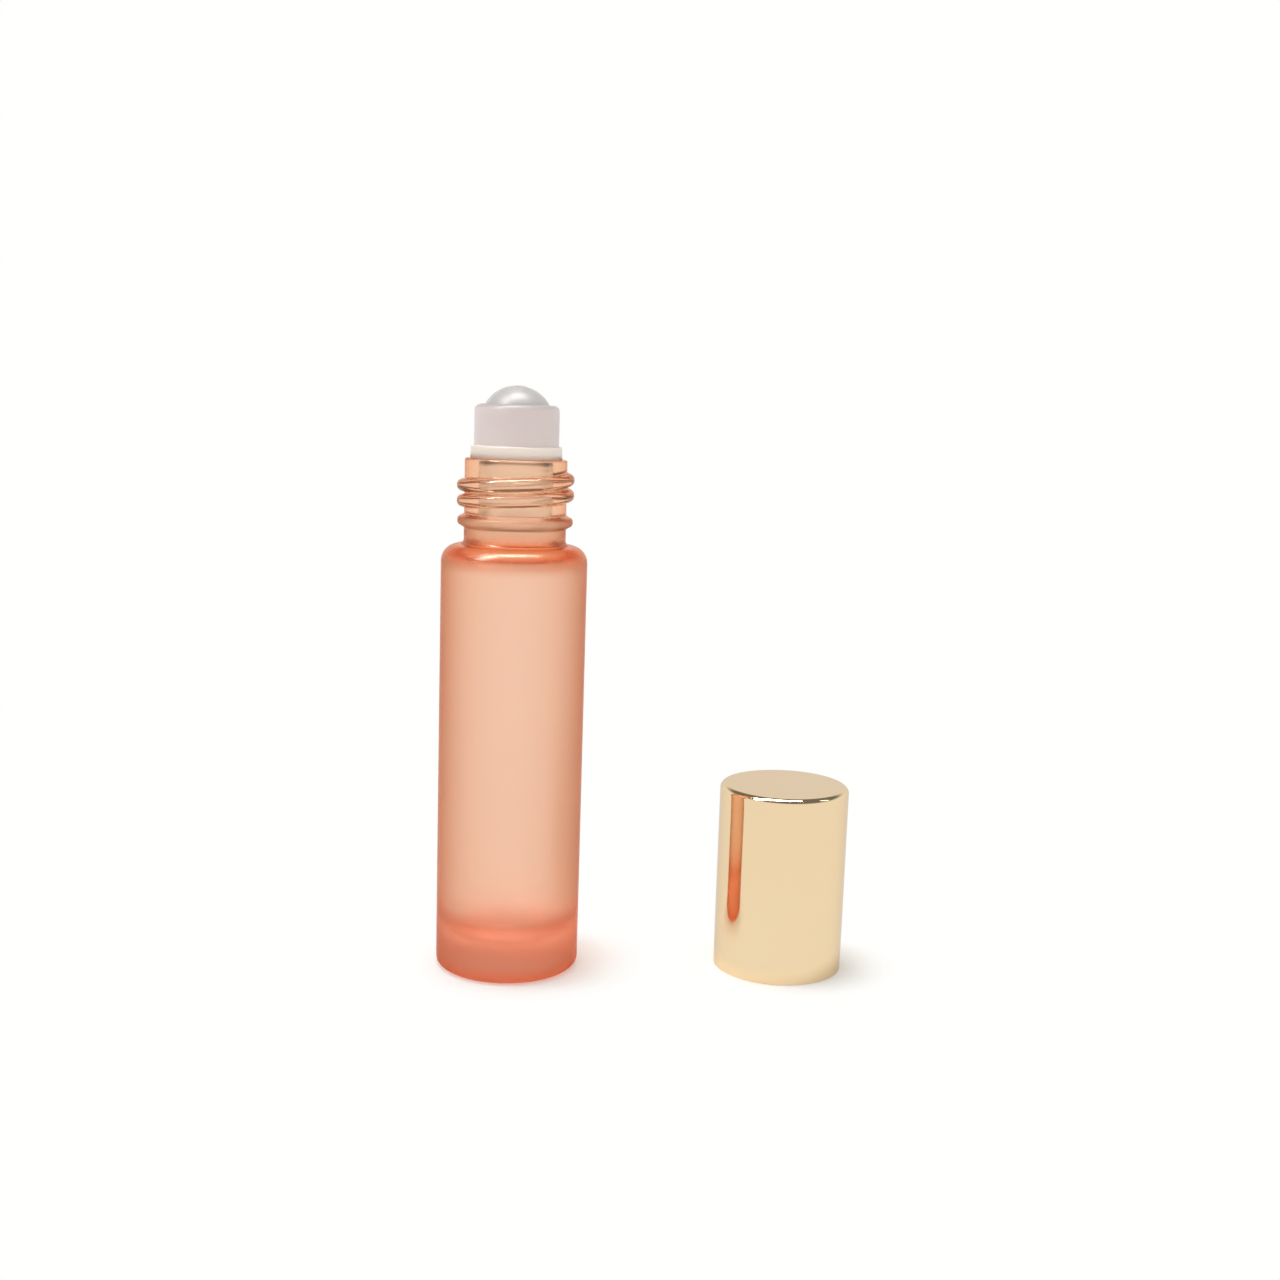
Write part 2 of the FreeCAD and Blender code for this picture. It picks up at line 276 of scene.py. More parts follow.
# Studio; a lamp is given by its name, place, width, height and brightness
FLOOR_R = 3.0
FLOOR_GAP = 0.02 * MM
FLOOR_LIFT = 0.18
# Painted light: the paper glows brighter where it is seen through the glass, for light gathered under the
# bottle
GLOW_LIFT = 0.42
SHADOW_REACH = -1.0 * MM
WHITE_REACH = 9.0 * MM
SHADOW_SHIFT = Vector((2.0, 1.5, 0)) * MM
PAPER_COLOUR = (0.9, 0.895, 0.88, 1)
WHITE_COLOUR = (1, 0.998, 0.985, 1)
WORLD_LIGHT = 0.74
CEILING_SHARE = 0.5
CEILING_MIRROR_SHARE = 0.2
WALL_TOP = 0.34
CEILING_BOTTOM = 0.62
LAMP_TARGET = Vector((20, 0, 35)) * MM
LAMPS = (
    ("overhead", (-0.03, 0.03, 0.55), 0.20, 0.16, 13.0),
    ("shoulder_box", (-0.24, -0.02, 0.60), 0.20, 0.08, 7.0),
    ("left_strip", (-0.42, -0.02, 0.48), 0.06, 0.12, 8.0),
    ("right_strip", (0.46, 0.05, 0.44), 0.06, 0.16, 4.5),
    ("glint_box", (-0.03, -0.02, 0.46), 0.12, 0.42, 20.0),
    ("glint_strip", (-0.26, -0.16, 0.42), 0.08, 0.22, 32.0),
    ("front_fill", (0.05, -0.62, 0.20), 0.50, 0.30, 1.3),
)
REFLECTED_LAMPS = ("glint_box", "glint_strip")
FILL_LAMPS = ("front_fill",)

# Camera that matches the photograph's view
CAMERA_PLACE = Vector((26.51, -207.15, 79.28)) * MM
CAMERA_YAW_DEG = 2.47
CAMERA_PITCH_DEG = 8.88
CAMERA_ROLL_DEG = 1.87
CAMERA_LENS_MM = 42.9
CAMERA_SENSOR_MM = 36.0


def start_outline(corners, closed, outer_count=0):
    """Outline in the XZ half plane through (radius, height, rounding) corners, each rounded by a bevel.

    The first outer_count corners are marked with 1 in the layer "outside" and the rest with 0.
    """
    mesh = bmesh.new()
    outside = mesh.verts.layers.float.new("outside") if outer_count else None
    verts = []
    for i, (radius, height, _) in enumerate(corners):
        vert = mesh.verts.new((radius, 0, height))
        if i < outer_count:
            vert[outside] = 1
        verts.append(vert)
    for vert, following in zip(verts, verts[1:]):
        mesh.edges.new((vert, following))
    if closed:
        mesh.edges.new((verts[-1], verts[0]))
    places = [vert.co.copy() for vert in verts]
    for i, vert in enumerate(verts):
        rounding = corners[i][2]
        if not rounding:
            continue
        back = places[i - 1] - places[i]
        ahead = places[(i + 1) % len(places)] - places[i]
        setback = rounding / math.tan(back.angle(ahead) / 2)
        bmesh.ops.bevel(
            mesh, geom=[vert], offset=setback, offset_type="OFFSET", segments=ROUNDING_STEPS,
            profile=0.5, affect="VERTICES", material=-1,
        )
    return mesh


def divide_rows(mesh, longest, chosen=lambda edge: True):
    """Divides the chosen edges of an outline until none is longer than the given length."""
    for edge in [edge for edge in mesh.edges if chosen(edge)]:
        cuts = math.ceil(edge.calc_length() / longest - COUNT_SLACK) - 1
        if cuts > 0:
            bmesh.ops.subdivide_edges(mesh, edges=[edge], cuts=cuts)


def spin_outline(mesh):
    """Spins an outline into a closed turned shape with outward faces."""
    bmesh.ops.spin(
        mesh, geom=mesh.verts[:] + mesh.edges[:], cent=(0, 0, 0), axis=(0, 0, 1),
        angle=FULL_TURN, steps=TURN_STEPS, use_merge=True, use_duplicate=False,
    )
    bmesh.ops.remove_doubles(mesh, verts=mesh.verts[:], dist=SAME_PLACE)
    bmesh.ops.recalc_face_normals(mesh, faces=mesh.faces[:])


def raise_thread(mesh, wall_r, height, half_width, start_z, turns):
    """Pushes a helical ridge out of a wall of the given radius, or into a bore where height is negative."""
    low_z = start_z - THREAD_PITCH
    high_z = start_z + (turns + 1) * THREAD_PITCH
    for vert in mesh.verts:
        radius = vert.co.xy.length
        if abs(radius - wall_r) > SAME_PLACE or not low_z < vert.co.z < high_z:
            continue
        angle = math.atan2(vert.co.y, vert.co.x) - THREAD_START_ANGLE
        first_turn = angle / FULL_TURN % 1 - 1
        rise = 0
        for lap in range(math.ceil(turns) + SPARE_LAPS):
            turn = first_turn + lap
            past_end = min(max(-turn, turn - turns, 0) / THREAD_RUNOUT, 1)
            fade = 1 - past_end * past_end * (3 - 2 * past_end)
            off_crest = abs(vert.co.z - start_z - THREAD_PITCH * turn) / half_width
            rise += fade * height * math.sqrt(max(1 - off_crest**RIDGE_FULLNESS, 0))
        vert.co.xy *= (radius + rise) / radius


def add_piece(name, mesh, body, node, material):
    """Makes a smooth-shaded piece of a finished mesh, which stands for a CAD node and rides on its body."""
    data = bpy.data.meshes.new(name)
    mesh.to_mesh(data)
    mesh.free()
    data.shade_smooth()
    data.materials.append(material)
    piece = bpy.data.objects.new(name, data)
    bpy.context.scene.collection.objects.link(piece)
    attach(piece, body)
    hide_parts(node)
    return piece


def make_bottle(material):
    """Glass bottle: heavy base, straight body, rounded shoulder, bead, threaded neck."""
    foot_inner_r = BODY_R - HEEL_ROUNDING - FOOT_RING_WIDTH
    cavity_r = BODY_R - BODY_WALL
    cavity_top_z = SHOULDER_Z - SHOULDER_GLASS
    outer_corners = [
        (0, PUSH_UP_DEPTH, 0),
        (foot_inner_r - PUSH_UP_SLOPE, PUSH_UP_DEPTH, PUSH_UP_SLOPE),
        (foot_inner_r, 0, PUSH_UP_DEPTH),
        (BODY_R, 0, HEEL_ROUNDING),
        (BODY_R, SHOULDER_Z, SHOULDER_ROUNDING),
        (NECK_R, SHOULDER_Z, NECK_ROOT_ROUNDING),
        (NECK_R, BEAD_Z - BEAD_BASE / 2, BEAD_ROOT_ROUNDING),
        (BEAD_R, BEAD_Z - BEAD_CREST / 2, BEAD_CREST_ROUNDING),
        (BEAD_R, BEAD_Z + BEAD_CREST / 2, BEAD_CREST_ROUNDING),
        (NECK_R, BEAD_Z + BEAD_BASE / 2, BEAD_ROOT_ROUNDING),
        (NECK_R, RIM_Z, RIM_ROUNDING),
    ]
    inner_corners = [
        (NECK_BORE_R, RIM_Z, RIM_ROUNDING),
        (NECK_BORE_R, cavity_top_z + CAVITY_SHOULDER_RISE, CAVITY_SHOULDER_ROUNDING),
        (cavity_r, cavity_top_z, CAVITY_SHOULDER_ROUNDING),
        (cavity_r, BASE_THICKNESS, FLOOR_ROUNDING),
        (0, BASE_THICKNESS, 0),
    ]
    mesh = start_outline(outer_corners + inner_corners, closed=False, outer_count=len(outer_corners))
    divide_rows(
        mesh, THREAD_ROW,
        lambda edge: all(abs(v.co.x - NECK_R) < SAME_PLACE and v.co.z > BEAD_Z for v in edge.verts),
    )
    divide_rows(mesh, LONGEST_ROW)
    spin_outline(mesh)
    raise_thread(mesh, NECK_R, THREAD_HEIGHT, THREAD_HALF_WIDTH, THREAD_START_Z, THREAD_TURNS)
    add_piece("coral_bottle", mesh, "bottle", "glass_bottle", material)


def socket_arc(radius, start_angle, end_angle):
    """Corners along an arc about the centre of the ball."""
    corners = []
    for row in range(SOCKET_ARC_ROWS + 1):
        angle = start_angle + (end_angle - start_angle) * row / SOCKET_ARC_ROWS
        corners.append((radius * math.cos(angle), BALL_Z + radius * math.sin(angle), 0))
    return corners


def make_housing(material, flange_material, skirt_material):
    """Roller housing: ball cup and flange above the rim, skirt with two seal rings in the neck bore."""
    skirt_bore_r = SKIRT_R - SKIRT_WALL
    corners = [(SKIRT_R - SKIRT_CHAMFER, SKIRT_Z, 0), (SKIRT_R, SKIRT_Z + SKIRT_CHAMFER, 0)]
    for drop in reversed(SEAL_RING_DROPS):
        ring_z = RIM_Z - drop
        corners += [
            (SKIRT_R, ring_z - SEAL_RING_BASE / 2, 0),
            (NECK_BORE_R - FIT_GAP, ring_z - SEAL_RING_LAND / 2, 0),
            (NECK_BORE_R - FIT_GAP, ring_z + SEAL_RING_LAND / 2, 0),
            (SKIRT_R, ring_z + SEAL_RING_BASE / 2, 0),
        ]
    corners += [
        (SKIRT_R, RIM_Z + FIT_GAP, 0),
        (FLANGE_R, RIM_Z + FIT_GAP, 0),
        (FLANGE_TOP_R, FLANGE_TOP_Z, FLANGE_ROUNDING),
        (BARREL_R, FLANGE_TOP_Z, FLANGE_ROUNDING),
        (BARREL_R, HOUSING_TOP_Z, HOUSING_TOP_ROUNDING),
    ]
    under_r = SOCKET_R + CUP_FLOOR
    lip_angle = math.asin((HOUSING_TOP_Z - BALL_Z) / SOCKET_R)
    corners += socket_arc(SOCKET_R, lip_angle, -math.acos(FEED_HOLE_R / SOCKET_R))
    corners += socket_arc(under_r, -math.acos(FEED_HOLE_R / under_r), -math.acos(skirt_bore_r / under_r))
    corners.append((skirt_bore_r, SKIRT_Z, 0))
    mesh = start_outline(corners, closed=True)
    divide_rows(mesh, LONGEST_ROW)
    spin_outline(mesh)
    for face in mesh.faces:
        place = face.calc_center_median()
        if place.z < RIM_Z and place.xy.length > skirt_bore_r - FIT_GAP:
            face.material_index = SKIRT_INDEX
        elif place.z < FLANGE_TOP_Z:
            face.material_index = FLANGE_INDEX
    piece = add_piece("milky_housing", mesh, "bottle", "roller_housing", material)
    piece.data.materials.append(flange_material)
    piece.data.materials.append(skirt_material)


def make_ball(material):
    """Roller ball."""
    mesh = bmesh.new()
    bmesh.ops.create_icosphere(
        mesh, subdivisions=BALL_SUBDIVISIONS, radius=BALL_R, matrix=Matrix.Translation((0, 0, BALL_Z))
    )
    add_piece("milky_ball", mesh, "ball", "roller_ball", material)


def make_cap_shell(material):
    """Drawn gold shell of the cap, open at the bottom."""
    bore_r = CAP_R - SHELL_WALL
    mesh = start_outline(
        [
            (0, CAP_TOP_Z, 0),
            (CAP_R, CAP_TOP_Z, CAP_EDGE_ROUNDING),
            (CAP_R, 0, SHELL_RIM_ROUNDING),
            (bore_r, 0, SHELL_RIM_ROUNDING),
            (bore_r, CAP_TOP_Z - SHELL_WALL, CAP_EDGE_ROUNDING - SHELL_WALL),
            (0, CAP_TOP_Z - SHELL_WALL, 0),
        ],
        closed=False,
    )
    divide_rows(mesh, LONGEST_ROW)
    spin_outline(mesh)
    bmesh.ops.translate(mesh, verts=mesh.verts[:], vec=(CAP_X, CAP_Y, 0))
    add_piece("gold_shell", mesh, "cap", "cap_shell", material)


def make_cap_liner(material):
    """Threaded liner of the cap with its roof, ball stop and lip seal."""
    mesh = start_outline(
        [
            (0, LINER_ROOF_Z + LINER_ROOF, 0),
            (LINER_BORE_R, LINER_ROOF_Z + LINER_ROOF, 0),
            (LINER_BORE_R, LINER_TOP_Z, 0),
            (LINER_R, LINER_TOP_Z, CAP_EDGE_ROUNDING - SHELL_WALL),
            (LINER_R, LINER_RIM_Z, 0),
            (LINER_SKIRT_R + LINER_LEAD_IN, LINER_RIM_Z, 0),
            (LINER_SKIRT_R, LINER_RIM_Z + LINER_LEAD_IN, 0),
            (LINER_SKIRT_R, LINER_SKIRT_Z, 0),
            (LINER_BORE_R, LINER_SKIRT_Z, 0),
            (LINER_BORE_R, LINER_ROOF_Z, 0),
            (LIP_SEAL_R, LINER_ROOF_Z, 0),
            (LIP_SEAL_R, LIP_SEAL_Z, 0),
            (LIP_SEAL_R - LIP_SEAL_WALL, LIP_SEAL_Z, 0),
            (LIP_SEAL_R - LIP_SEAL_WALL, LINER_ROOF_Z, 0),
            (BALL_STOP_R + BALL_STOP_WALL, LINER_ROOF_Z, 0),
            (BALL_STOP_R + BALL_STOP_WALL, BALL_STOP_Z, 0),
            (BALL_STOP_R, BALL_STOP_Z, 0),
            (BALL_STOP_R, LINER_ROOF_Z, 0),
            (0, LINER_ROOF_Z, 0),
        ],
        closed=False,
    )
    divide_rows(
        mesh, THREAD_ROW,
        lambda edge: all(
            abs(v.co.x - LINER_BORE_R) < SAME_PLACE and v.co.z < LINER_ROOF_Z / 2 for v in edge.verts
        ),
    )
    divide_rows(mesh, LONGEST_ROW)
    spin_outline(mesh)
    raise_thread(
        mesh, LINER_BORE_R, -LINER_RIDGE_HEIGHT, LINER_RIDGE_HALF_WIDTH, LINER_THREAD_Z, LINER_THREAD_TURNS
    )
    bmesh.ops.translate(mesh, verts=mesh.verts[:], vec=(CAP_X, CAP_Y, 0))
    add_piece("white_liner", mesh, "cap", "cap_liner", material)


def add_node(tree, kind, inputs=None, **settings):
    """Adds a shader node; each input is a plain value or the socket that feeds it."""
    made = tree.nodes.new("ShaderNode" + kind)
    for name, value in settings.items():
        setattr(made, name, value)
    feed(tree, made, inputs or {})
    return made


def feed(tree, made, inputs):
    """Sets or links inputs of a node, given by name or by number."""
    for key, value in inputs.items():
        if isinstance(value, bpy.types.NodeSocket):
            tree.links.new(value, made.inputs[key])
        else:
            made.inputs[key].default_value = value


def maths(tree, operation, *values):
    """Result of a Math node."""
    return add_node(tree, "Math", dict(enumerate(values)), operation=operation).outputs["Value"]


def remap(tree, value, start, end, low, high):
    """Eases from low to high while the value goes from start to end."""
    inputs = {"Value": value, "From Min": start, "From Max": end, "To Min": low, "To Max": high}
    return add_node(tree, "MapRange", inputs, interpolation_type="SMOOTHSTEP").outputs["Result"]


def blend(tree, share, first, second):
    """Colour between two colours."""
    return add_node(tree, "Mix", {0: share, 6: first, 7: second}, data_type="RGBA").outputs[2]


def noise(tree, place, scale, detail, twist=0.0):
    """Strength of a noise at a place."""
    inputs = {"Vector": place, "Scale": scale, "Detail": detail, "Distortion": twist}
    return add_node(tree, "TexNoise", inputs).outputs[0]


def object_place(tree):
    """Place on the piece, in its own coordinates."""
    return add_node(tree, "TexCoord").outputs["Object"]


def height_of(tree, place):
    """Height of a place or direction."""
    return add_node(tree, "SeparateXYZ", {"Vector": place}).outputs["Z"]


def new_group(name, inputs, outputs):
    """Empty node group with the given sockets; returns the group with its input and output nodes."""
    group = bpy.data.node_groups.new(name, "ShaderNodeTree")
    for socket_name, kind in inputs:
        group.interface.new_socket(socket_name, in_out="INPUT", socket_type=kind)
    for socket_name, kind in outputs:
        group.interface.new_socket(socket_name, in_out="OUTPUT", socket_type=kind)
    return group, group.nodes.new("NodeGroupInput"), group.nodes.new("NodeGroupOutput")


def surface_grain_group():
    """Shared effect: fine moulded or etched grain, as a mask and as a bumped normal."""
    group, given, result = new_group(
        "surface_grain",
        [("Place", "NodeSocketVector"), ("Scale", "NodeSocketFloat"), ("Depth", "NodeSocketFloat")],
        [("Mask", "NodeSocketFloat"), ("Normal", "NodeSocketVector")],
    )
    place, scale = given.outputs["Place"], given.outputs["Scale"]
    grain = add_node(
        group, "TexNoise",
        {"Vector": place, "Scale": scale, "Detail": GRAIN_DETAIL, "Roughness": GRAIN_BREAKUP},
    ).outputs[0]
    bump = add_node(group, "Bump", {"Height": grain, "Distance": given.outputs["Depth"]})
    feed(group, result, {"Mask": grain, "Normal": bump.outputs["Normal"]})
    return group


def handling_marks_group():
    """Shared effect: soft smudges broken up by finer streaks, as a mask from 0 to 1."""
    group, given, result = new_group(
        "handling_marks",
        [("Place", "NodeSocketVector"), ("Scale", "NodeSocketFloat")],
        [("Mask", "NodeSocketFloat")],
    )
    place, scale = given.outputs["Place"], given.outputs["Scale"]
    smudge = noise(group, place, scale, SMUDGE_DETAIL)
    smudge = remap(group, smudge, *SMUDGE_SPAN, 0, 1)
    finer = maths(group, "MULTIPLY", scale, STREAK_FINENESS)
    streak = noise(group, place, finer, STREAK_DETAIL)
    streak = remap(group, streak, *STREAK_SPAN, STREAK_LOW, 1)
    feed(group, result, {"Mask": maths(group, "MULTIPLY", smudge, streak)})
    return group


def use_group(tree, group, inputs):
    """Outputs of a new node that uses a group."""
    made = tree.nodes.new("ShaderNodeGroup")
    made.node_tree = group
    feed(tree, made, inputs)
    return made.outputs


def use_grain(tree, place, scale, depth):
    """Outputs of the shared surface grain."""
    return use_group(tree, surface_grain, {"Place": place, "Scale": scale, "Depth": depth})


def use_marks(tree, place, scale):
    """Mask of the shared handling marks."""
    return use_group(tree, handling_marks, {"Place": place, "Scale": scale})["Mask"]


def new_material(name):
    """Node material; returns it with its tree, its Principled shader and the place on the piece."""
    material = bpy.data.materials.new(name)
    material.use_nodes = True
    tree = material.node_tree
    return material, tree, tree.nodes["Principled BSDF"], object_place(tree)


def coral_glass():
    """Coral glass, frosted up to the bead and glossy on the thread, with a coral coat outside.

    Painted shade greys the base and deepens the coral at the heel and the shoulder;
    the stain is fainter under the foot. Inside, only the floor of the cavity is darkened, with painted
    shade.
    """
    material, tree, shader, place = new_material("coral_glass")
    height = height_of(tree, place)
    outside = add_node(tree, "Attribute", attribute_name="outside").outputs["Fac"]
    frosted = maths(tree, "MULTIPLY", outside, remap(tree, height, *FROST_SPAN, 0, 1))
    grain = use_grain(tree, place, FROST_SCALE, maths(tree, "MULTIPLY", frosted, FROST_DEPTH))
    marks = use_marks(tree, place, GLASS_MARKS_SCALE)

    off_axis = add_node(tree, "VectorMath", {0: place, 1: (0, 0, 1)}, operation="CROSS_PRODUCT").outputs[0]
    radius = add_node(tree, "VectorMath", {0: off_axis}, operation="LENGTH").outputs["Value"]
    off_foot = maths(
        tree, "MAXIMUM",
        remap(tree, radius, *FOOT_RADIUS_SPAN, FOOT_SHARE, 1),
        remap(tree, height, *FOOT_HEIGHT_SPAN, FOOT_SHARE, 1),
    )
    stained = maths(tree, "MULTIPLY", outside, off_foot)
    over_shoulder = remap(tree, height, *SHOULDER_SPAN, 0, 1)
    at_shoulder = maths(tree, "MULTIPLY", over_shoulder, remap(tree, height, *NECK_ROOT_SPAN, 0, 1))
    # Painted shade greys the base and deepens the heel, the shoulder and the cavity floor
    wall_stain_and_shade = blend(tree, remap(tree, height, *BASE_SPAN, 0, 1), WALL_STAIN, BASE_PAINTED_SHADE)
    body_stain_and_shade = blend(tree, remap(tree, height, *HEEL_SPAN, 0, 1), wall_stain_and_shade, HEEL_PAINTED_SHADE)
    neck_stain_and_shade = blend(tree, at_shoulder, NECK_STAIN, SHOULDER_PAINTED_SHADE)
    outer_stain_and_shade = blend(tree, over_shoulder, body_stain_and_shade, neck_stain_and_shade)
    inner_painted_shade = blend(tree, remap(tree, height, *CAVITY_FLOOR_SPAN, 0, 1), CLEAR, CAVITY_FLOOR_PAINTED_SHADE)

    frost = remap(tree, at_shoulder, 0, 1, FROST_ROUGHNESS, SHOULDER_ROUGHNESS)
    frost = maths(tree, "MULTIPLY_ADD", grain["Mask"], FROST_UNEVENNESS, frost)
    frost = maths(tree, "MULTIPLY_ADD", marks, SMUDGE_POLISH, frost)
    gloss = remap(tree, over_shoulder, 0, 1, BORE_ROUGHNESS, NECK_ROUGHNESS)
    feed(tree, shader, {
        "Base Color": blend(tree, stained, inner_painted_shade, outer_stain_and_shade),
        "Roughness": maths(tree, "MAXIMUM", maths(tree, "MULTIPLY", frosted, frost), gloss),
        "Transmission Weight": 1.0,
        "IOR": GLASS_IOR,
        "Coat Weight": stained,
        "Coat Roughness": COAT_ROUGHNESS,
        "Coat IOR": COAT_IOR,
        "Coat Tint": COAT_TINT,
        "Normal": grain["Normal"],
    })
    tint = add_node(tree, "VolumeAbsorption", {"Color": GLASS_TINT, "Density": GLASS_TINT_DENSITY})
    tree.links.new(tint.outputs["Volume"], tree.nodes["Material Output"].inputs["Volume"])
    return material


def barrel_plastic():
    """Translucent natural plastic of the roller housing, with painted shade that greys the lip round the
    ball.
    """
    material, tree, shader, place = new_material("barrel_plastic")
    grain = use_grain(tree, place, HOUSING_GRAIN_SCALE, HOUSING_GRAIN_DEPTH)
    mottle = noise(tree, place, BARREL_MOTTLE_SCALE, BARREL_MOTTLE_DETAIL)
    # Painted shade greys the lip round the ball
    lip_shade = remap(tree, height_of(tree, place), *LIP_SHADE_SPAN, 0, 1)
    feed(tree, shader, {
        "Base Color": blend(tree, lip_shade, blend(tree, mottle, *BARREL_COLOURS), LIP_PAINTED_SHADE),
        "Roughness": maths(tree, "MULTIPLY_ADD", grain["Mask"], HOUSING_UNEVENNESS, HOUSING_ROUGHNESS),
        "Subsurface Weight": 1.0,
        "Subsurface Radius": BARREL_DEPTH_COLOUR,
        "Subsurface Scale": BARREL_DEPTH,
        "IOR": HOUSING_IOR,
        "Specular IOR Level": BARREL_SPECULAR,
        "Normal": grain["Normal"],
    })
    return material


def flange_plastic():
    """The same plastic where it is thick, in the flange and the floor of the ball cup, painted lighter and
    warmer for the glow of the coral glass below.
    """
    material, tree, shader, place = new_material("flange_plastic")
    grain = use_grain(tree, place, HOUSING_GRAIN_SCALE, HOUSING_GRAIN_DEPTH)
    feed(tree, shader, {
        # Painted light: a warmer, lighter colour for the glow of the coral glass
        "Base Color": blend(tree, grain["Mask"], *FLANGE_COLOURS_AND_GLOW),
        "Roughness": maths(tree, "MULTIPLY_ADD", grain["Mask"], HOUSING_UNEVENNESS, HOUSING_ROUGHNESS),
        "IOR": HOUSING_IOR,
        "Normal": grain["Normal"],
    })
    return material


def skirt_plastic():
    """The same plastic where it is thin and lets most light through, in the skirt.

    Its low IOR stands for a plug that is pressed wet against the glass.
    """
    material, tree, shader, place = new_material("skirt_plastic")
    grain = use_grain(tree, place, HOUSING_GRAIN_SCALE, HOUSING_GRAIN_DEPTH)
    feed(tree, shader, {
        "Base Color": SKIRT_COLOUR,
        "Roughness": maths(tree, "MULTIPLY_ADD", grain["Mask"], SKIRT_UNEVENNESS, SKIRT_ROUGHNESS),
        "Transmission Weight": SKIRT_TRANSMISSION,
        "IOR": SKIRT_IOR,
        "Normal": grain["Normal"],
    })
    return material


def ball_plastic():
    """Polished milky ball."""
    material, tree, shader, place = new_material("ball_plastic")
    marks = use_marks(tree, place, BALL_MARKS_SCALE)
    swirl = noise(tree, place, BALL_SWIRL_SCALE, BALL_SWIRL_DETAIL, BALL_SWIRL_TWIST)
    feed(tree, shader, {
        "Base Color": blend(tree, swirl, *BALL_COLOURS),
        "Roughness": maths(tree, "MULTIPLY_ADD", marks, BALL_UNEVENNESS, BALL_ROUGHNESS),
        "Subsurface Weight": BALL_MILKINESS,
        "Subsurface Radius": BALL_DEPTH_COLOUR,
        "Subsurface Scale": BALL_DEPTH,
        "IOR": BALL_IOR,
        "Specular IOR Level": BALL_SPECULAR,
    })
    return material


def champagne_gold():
    """Mirror-bright champagne gold metal with faint polishing rings and smudges."""
    material, tree, shader, place = new_material("champagne_gold")
    marks = use_marks(tree, place, GOLD_MARKS_SCALE)
    stretched = add_node(tree, "Mapping", {"Vector": place, "Scale": RING_STRETCH}).outputs["Vector"]
    rings = use_grain(tree, stretched, RING_SCALE, RING_DEPTH)
    tone = noise(tree, place, GOLD_TONE_SCALE, GOLD_TONE_DETAIL)
    roughness = maths(tree, "MULTIPLY_ADD", rings["Mask"], RING_ROUGHNESS, GOLD_ROUGHNESS)
    feed(tree, shader, {
        "Base Color": blend(tree, tone, *GOLD_COLOURS),
        "Metallic": 1.0,
        "Roughness": maths(tree, "MULTIPLY_ADD", marks, GOLD_MARKS_ROUGHNESS, roughness),
        # Painted shade in the grazing reflections, through a greyed edge tint
        "Specular Tint": GOLD_EDGE_TINT_AND_SHADE,
        "Normal": rings["Normal"],
    })
    return material


def white_plastic():
    """Satin white plastic of the cap's liner."""
    material, tree, shader, place = new_material("white_plastic")
    grain = use_grain(tree, place, LINER_GRAIN_SCALE, LINER_GRAIN_DEPTH)
    feed(tree, shader, {
        "Base Color": blend(tree, use_marks(tree, place, LINER_MARKS_SCALE), *LINER_COLOURS),
        "Roughness": maths(tree, "MULTIPLY_ADD", grain["Mask"], LINER_UNEVENNESS, LINER_ROUGHNESS),
        "Normal": grain["Normal"],
    })
    return material


def seen_rays(tree):
    """Socket that is 1 for rays from the camera, off gloss and through glass, and 0 for the rest."""
    path = add_node(tree, "LightPath").outputs
    seen = maths(tree, "MAXIMUM", path["Is Camera Ray"], path["Is Glossy Ray"])
    return maths(tree, "MAXIMUM", seen, path["Is Transmission Ray"])


def white_floor():
    """Pale paper that keeps the shadows near the object and turns plain white further off where seen."""
    material = bpy.data.materials.new("white_floor")
    material.use_nodes = True
    tree = material.node_tree
    tree.nodes.remove(tree.nodes["Principled BSDF"])
    seen = seen_rays(tree)
    place = object_place(tree)
    gaps = []
    for foot, radius in ((Vector(), BODY_R), (Vector((CAP_X, CAP_Y, 0)), CAP_R)):
        from_axis = add_node(tree, "VectorMath", {0: place, 1: foot + SHADOW_SHIFT}, operation="DISTANCE")
        gaps.append(maths(tree, "SUBTRACT", from_axis.outputs["Value"], radius))
    nearest = maths(tree, "MINIMUM", *gaps)
    white_share = maths(tree, "MULTIPLY", seen, remap(tree, nearest, SHADOW_REACH, WHITE_REACH, 0, 1))
    paper = add_node(tree, "BsdfDiffuse", {"Color": PAPER_COLOUR})
    # Painted light: extra glow of the paper where it is seen through the glass
    through_glass = add_node(tree, "LightPath").outputs["Is Transmission Ray"]
    level = maths(tree, "MULTIPLY_ADD", through_glass, GLOW_LIFT, maths(tree, "MULTIPLY", seen, FLOOR_LIFT))
    lift = add_node(tree, "Emission", {"Color": WHITE_COLOUR, "Strength": level})
    near = add_node(tree, "AddShader", {0: paper.outputs["BSDF"], 1: lift.outputs["Emission"]})
    white = add_node(tree, "Emission", {"Color": WHITE_COLOUR})
    both = add_node(
        tree, "MixShader", {0: white_share, 1: near.outputs["Shader"], 2: white.outputs["Emission"]}
    )
    tree.links.new(both.outputs["Shader"], tree.nodes["Material Output"].inputs["Surface"])
    return material


def make_floor():
    """Round floor just under the object."""
    mesh = bmesh.new()
    bmesh.ops.create_circle(
        mesh, cap_ends=True, segments=FLOOR_STEPS, radius=FLOOR_R,
        matrix=Matrix.Translation((0, 0, -FLOOR_GAP)),
    )
    data = bpy.data.meshes.new("floor")
    mesh.to_mesh(data)
    mesh.free()
    data.materials.append(white_floor())
    floor = bpy.data.objects.new("floor", data)
    bpy.context.scene.collection.objects.link(floor)


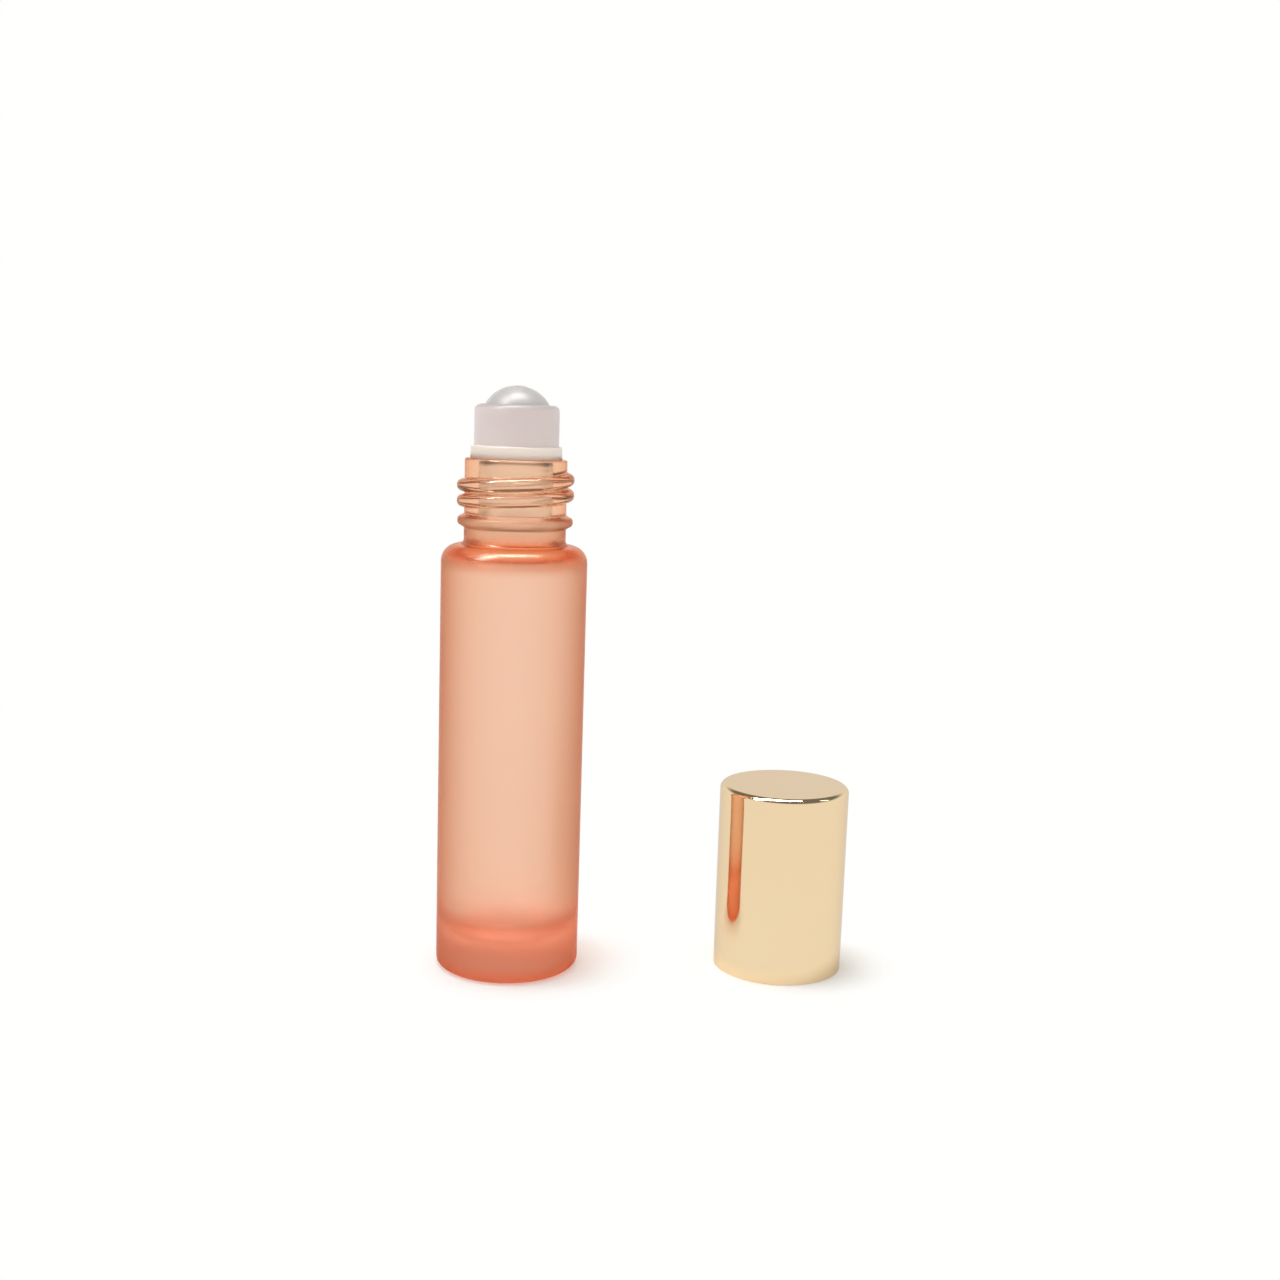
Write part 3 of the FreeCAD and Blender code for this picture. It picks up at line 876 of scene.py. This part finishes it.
def make_world():
    """White walls all round, which light the scene a little less than they show.

    The ceiling is grey, darker in mirrors and white through glass.
    """
    world = bpy.data.worlds.new("studio")
    bpy.context.scene.world = world
    world.use_nodes = True
    tree = world.node_tree
    up = height_of(tree, add_node(tree, "TexCoord").outputs["Generated"])
    path = add_node(tree, "LightPath").outputs
    ceiling = remap(tree, path["Is Glossy Ray"], 0, 1, CEILING_SHARE, CEILING_MIRROR_SHARE)
    ceiling = maths(tree, "MAXIMUM", ceiling, path["Is Transmission Ray"])
    wall = remap(tree, up, WALL_TOP, CEILING_BOTTOM, 1, ceiling)
    level = remap(tree, seen_rays(tree), 0, 1, WORLD_LIGHT, 1)
    strength = maths(tree, "MULTIPLY", wall, level)
    feed(tree, tree.nodes["Background"], {"Color": WHITE_COLOUR, "Strength": strength})


def softbox(name, place, width, height, radiance):
    """Rectangular area lamp of a given brightness that faces the middle of the object.

    A reflected lamp shows in glossy reflections alone, and a fill lamp lights plain surfaces alone.
    """
    lamp = bpy.data.lights.new(name, "AREA")
    lamp.shape = "RECTANGLE"
    lamp.size = width
    lamp.size_y = height
    lamp.energy = radiance * math.pi * width * height
    holder = bpy.data.objects.new(name, lamp)
    holder.location = place
    holder.rotation_euler = (LAMP_TARGET - Vector(place)).to_track_quat("-Z", "Y").to_euler()
    bpy.context.scene.collection.objects.link(holder)
    if name in REFLECTED_LAMPS:
        holder.visible_diffuse = holder.visible_transmission = holder.visible_volume_scatter = False
    if name in FILL_LAMPS:
        holder.visible_glossy = holder.visible_transmission = False


def make_camera():
    """Camera of the main view."""
    camera = bpy.data.cameras.new("camera")
    camera.sensor_width = CAMERA_SENSOR_MM
    camera.lens = CAMERA_LENS_MM
    camera.clip_start = MM
    holder = bpy.data.objects.new("camera", camera)
    turn = (
        Matrix.Rotation(math.radians(CAMERA_YAW_DEG), 4, "Z")
        @ Matrix.Rotation(math.radians(90 - CAMERA_PITCH_DEG), 4, "X")
        @ Matrix.Rotation(math.radians(CAMERA_ROLL_DEG), 4, "Z")
    )
    holder.matrix_world = Matrix.Translation(CAMERA_PLACE) @ turn
    bpy.context.scene.collection.objects.link(holder)
    bpy.context.scene.camera = holder


surface_grain = surface_grain_group()
handling_marks = handling_marks_group()
make_bottle(coral_glass())
make_housing(barrel_plastic(), flange_plastic(), skirt_plastic())
make_ball(ball_plastic())
make_cap_shell(champagne_gold())
make_cap_liner(white_plastic())
make_floor()
make_world()
for lamp_values in LAMPS:
    softbox(*lamp_values)
make_camera()

bpy.context.scene.view_settings.view_transform = "Standard"
